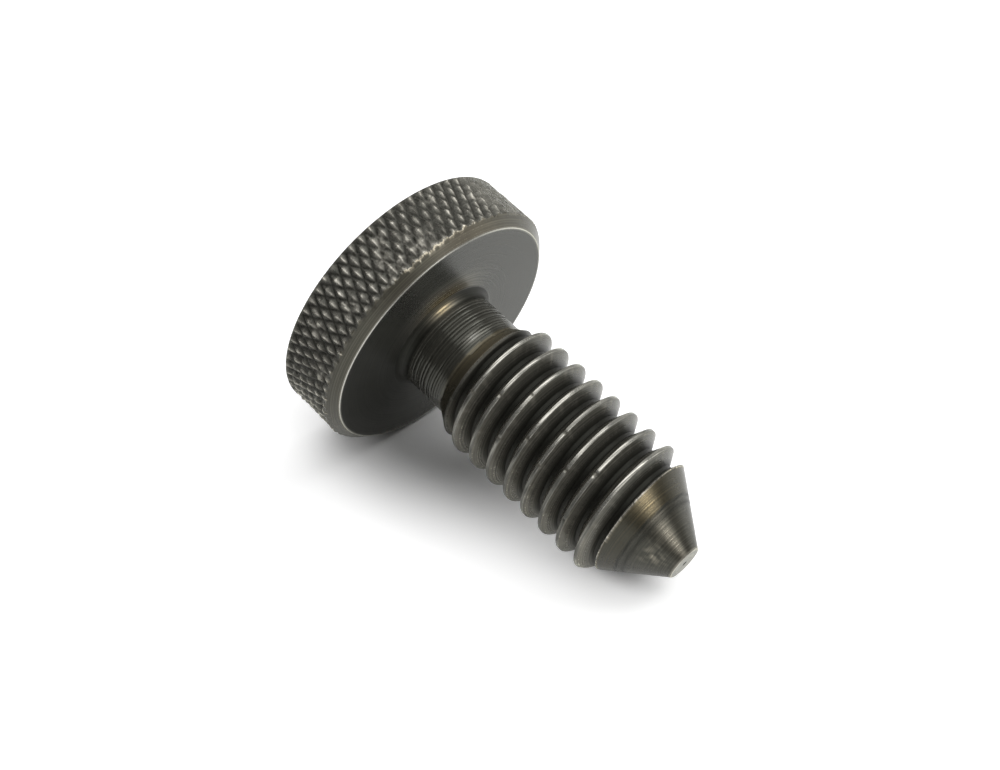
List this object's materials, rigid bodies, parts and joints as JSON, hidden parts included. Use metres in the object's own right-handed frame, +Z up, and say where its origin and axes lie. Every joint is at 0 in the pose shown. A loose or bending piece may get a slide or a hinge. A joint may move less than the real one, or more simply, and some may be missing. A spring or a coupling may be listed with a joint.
{
  "type": "locking bolt",
  "caption": "Thumb-turned locking bolt with a knurled round head, a plain neck, a coarse right-hand thread and a cone tip.",
  "frame": {"origin": "On the surface that the bolt lies on, under the middle of its bounding box.", "axes": "+Z is up. +X runs from the head towards the tip. The bolt lies on its head's rim and its last turns of thread, so its own axis points 15.22 degrees below +X."},
  "size_m": [0.0288, 0.0194, 0.0197],
  "materials": {
    "dark_steel": "turned and knurled steel, dark and slightly oily"
  },
  "bodies": {
    "root": {"locking_bolt": "dark_steel"}
  },
  "joints": []
}
